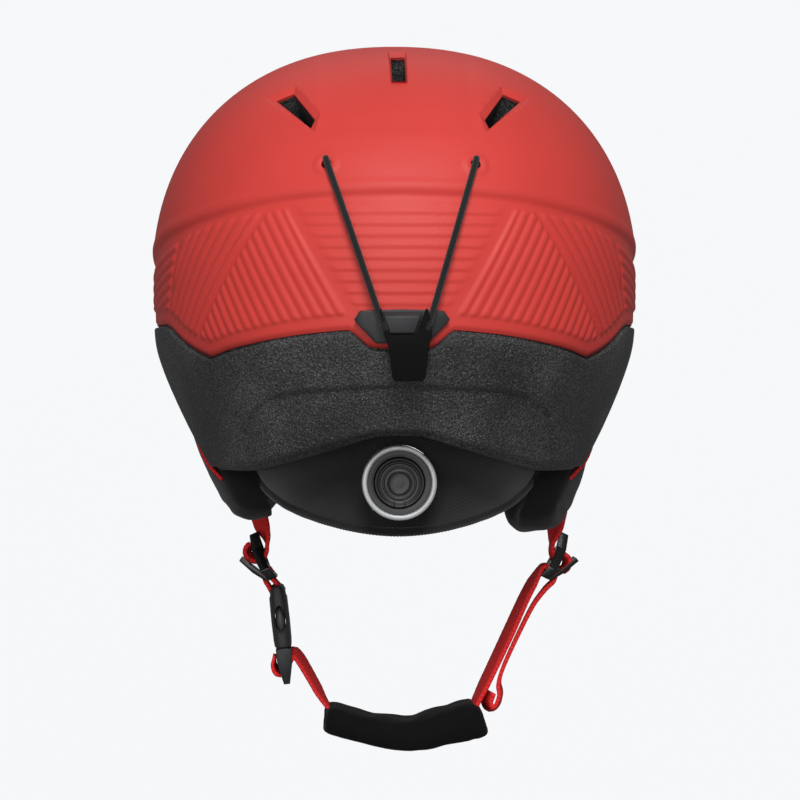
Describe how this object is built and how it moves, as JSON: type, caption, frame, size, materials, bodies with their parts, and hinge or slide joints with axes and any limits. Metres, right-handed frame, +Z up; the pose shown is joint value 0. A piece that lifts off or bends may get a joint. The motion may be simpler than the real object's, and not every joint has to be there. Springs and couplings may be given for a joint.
{
  "type": "ski helmet",
  "caption": "Snow-sports helmet with a two-part shell over foam, a rear dial fit system, an elastic goggle-strap retainer, soft ear pads and a buckled, padded chin strap.",
  "frame": {"origin": "middle of the head opening, level with the rim above the ears", "axes": "+Z up towards the crown, -Y the way the wearer faces, +X the wearer's left"},
  "size_m": [0.2216, 0.2802, 0.3229],
  "materials": {
    "shell_red": "satin matte",
    "foam_black": "beaded foam, matte",
    "comfort_fabric": "knitted, matte",
    "neck_fabric": "twill, matte",
    "dark_plastic": "fine textured",
    "ring_silver": "satin metallic",
    "webbing_red": "woven webbing",
    "elastic_black": "braided elastic"
  },
  "bodies": {
    "helmet": {"outer_shell": "shell_red", "eps_liner": "foam_black", "comfort_crown": "comfort_fabric", "comfort_brow": "comfort_fabric", "comfort_side_left": "comfort_fabric", "comfort_side_right": "comfort_fabric", "comfort_rear": "comfort_fabric", "neck_panel": "neck_fabric", "neck_piping": "neck_fabric", "dial_housing": "dark_plastic", "dial_ring": "ring_silver", "dial_bezel": "dark_plastic", "cord_bosses": "shell_red", "cord_stubs": "elastic_black", "retainer_base": "dark_plastic", "retainer_boss": "dark_plastic", "pad_strip_left": "dark_plastic", "pad_strip_right": "dark_plastic"},
    "dial": {"dial_knob": "dark_plastic", "dial_pinion": "dark_plastic"},
    "fit_left": {"fit_rack_left": "dark_plastic", "fit_band_left": "dark_plastic"},
    "fit_right": {"fit_rack_right": "dark_plastic", "fit_band_right": "dark_plastic"},
    "retainer_cords": {"cord_left": "elastic_black", "cord_right": "elastic_black"},
    "retainer_tab": {"retainer_tab": "dark_plastic"},
    "ear_left": {"ear_pad_left": "neck_fabric", "strap_sleeve_left": "neck_fabric", "strap_branch_left": "webbing_red", "webbing_upper_left": "webbing_red"},
    "ear_right": {"ear_pad_right": "neck_fabric", "strap_sleeve_right": "neck_fabric", "strap_branch_right": "webbing_red", "webbing_upper_right": "webbing_red"},
    "chin_strap": {"divider_left": "dark_plastic", "divider_right": "dark_plastic", "buckle_female": "dark_plastic", "webbing_buckle_loop": "webbing_red", "webbing_left": "webbing_red", "webbing_right": "webbing_red", "chin_pad": "neck_fabric"},
    "buckle_tongue": {"buckle_tongue": "dark_plastic"},
    "prong_left": {"buckle_prong_left": "dark_plastic"},
    "prong_right": {"buckle_prong_right": "dark_plastic"}
  },
  "joints": [
    {"name": "retainer_swing", "type": "hinge", "parent": "helmet", "child": "retainer_cords", "pos_m": [0, 0.1254, 0.0754], "axis": [1, 0, 0], "range_deg": [0, 70], "stiffness_Nm_per_rad": 0.02, "springref_deg": -17.19},
    {"name": "retainer_pull", "type": "slide", "parent": "retainer_cords", "child": "retainer_tab", "axis": [0, 0, -1], "range_m": [0, 0.007], "stiffness_N_per_m": 300, "deforming": ["cord_left", "cord_right"]},
    {"name": "dial_turn", "type": "hinge", "parent": "helmet", "child": "dial", "pos_m": [0, 0.09, -0.0618], "axis": [0, -1, 0], "range_deg": [0, 180]},
    {"name": "fit_left_slide", "type": "slide", "parent": "helmet", "child": "fit_left", "axis": [-1, 0, 0], "range_m": [0, 0.01256]},
    {"name": "fit_right_slide", "type": "slide", "parent": "helmet", "child": "fit_right", "axis": [1, 0, 0], "range_m": [0, 0.0126]},
    {"name": "ear_left_flap", "type": "hinge", "parent": "helmet", "child": "ear_left", "pos_m": [0.097, -0.005, 0], "axis": [0, -1, 0], "range_deg": [0, 8], "stiffness_Nm_per_rad": 1, "springref_deg": -4.58},
    {"name": "ear_right_flap", "type": "hinge", "parent": "helmet", "child": "ear_right", "pos_m": [-0.097, -0.005, 0], "axis": [0, 1, 0], "range_deg": [0, 8], "stiffness_Nm_per_rad": 1, "springref_deg": -4.58},
    {"name": "strap_swing", "type": "hinge", "parent": "helmet", "child": "chin_strap", "pos_m": [0, -0.005, -0.092], "axis": [1, 0, 0], "range_deg": [-60, 40]},
    {"name": "buckle_release", "type": "slide", "parent": "chin_strap", "child": "buckle_tongue", "axis": [-0.1045, 0, -0.9945], "range_m": [0, 0.022], "deforming": ["webbing_left"]},
    {"name": "prong_left_press", "type": "hinge", "parent": "buckle_tongue", "child": "prong_left", "pos_m": [0.05044, 0.0028, -0.14368], "axis": [0.9945, 0, -0.1045], "range_deg": [0, 6], "stiffness_Nm_per_rad": 0.2},
    {"name": "prong_right_press", "type": "hinge", "parent": "buckle_tongue", "child": "prong_right", "pos_m": [0.05044, -0.0128, -0.14368], "axis": [-0.9945, 0, 0.1045], "range_deg": [0, 6], "stiffness_Nm_per_rad": 0.2}
  ],
  "couplings": [
    {"joint": "dial_turn", "follows": "fit_left_slide", "rad_per_m": 250},
    {"joint": "fit_right_slide", "follows": "fit_left_slide", "ratio": 1}
  ]
}
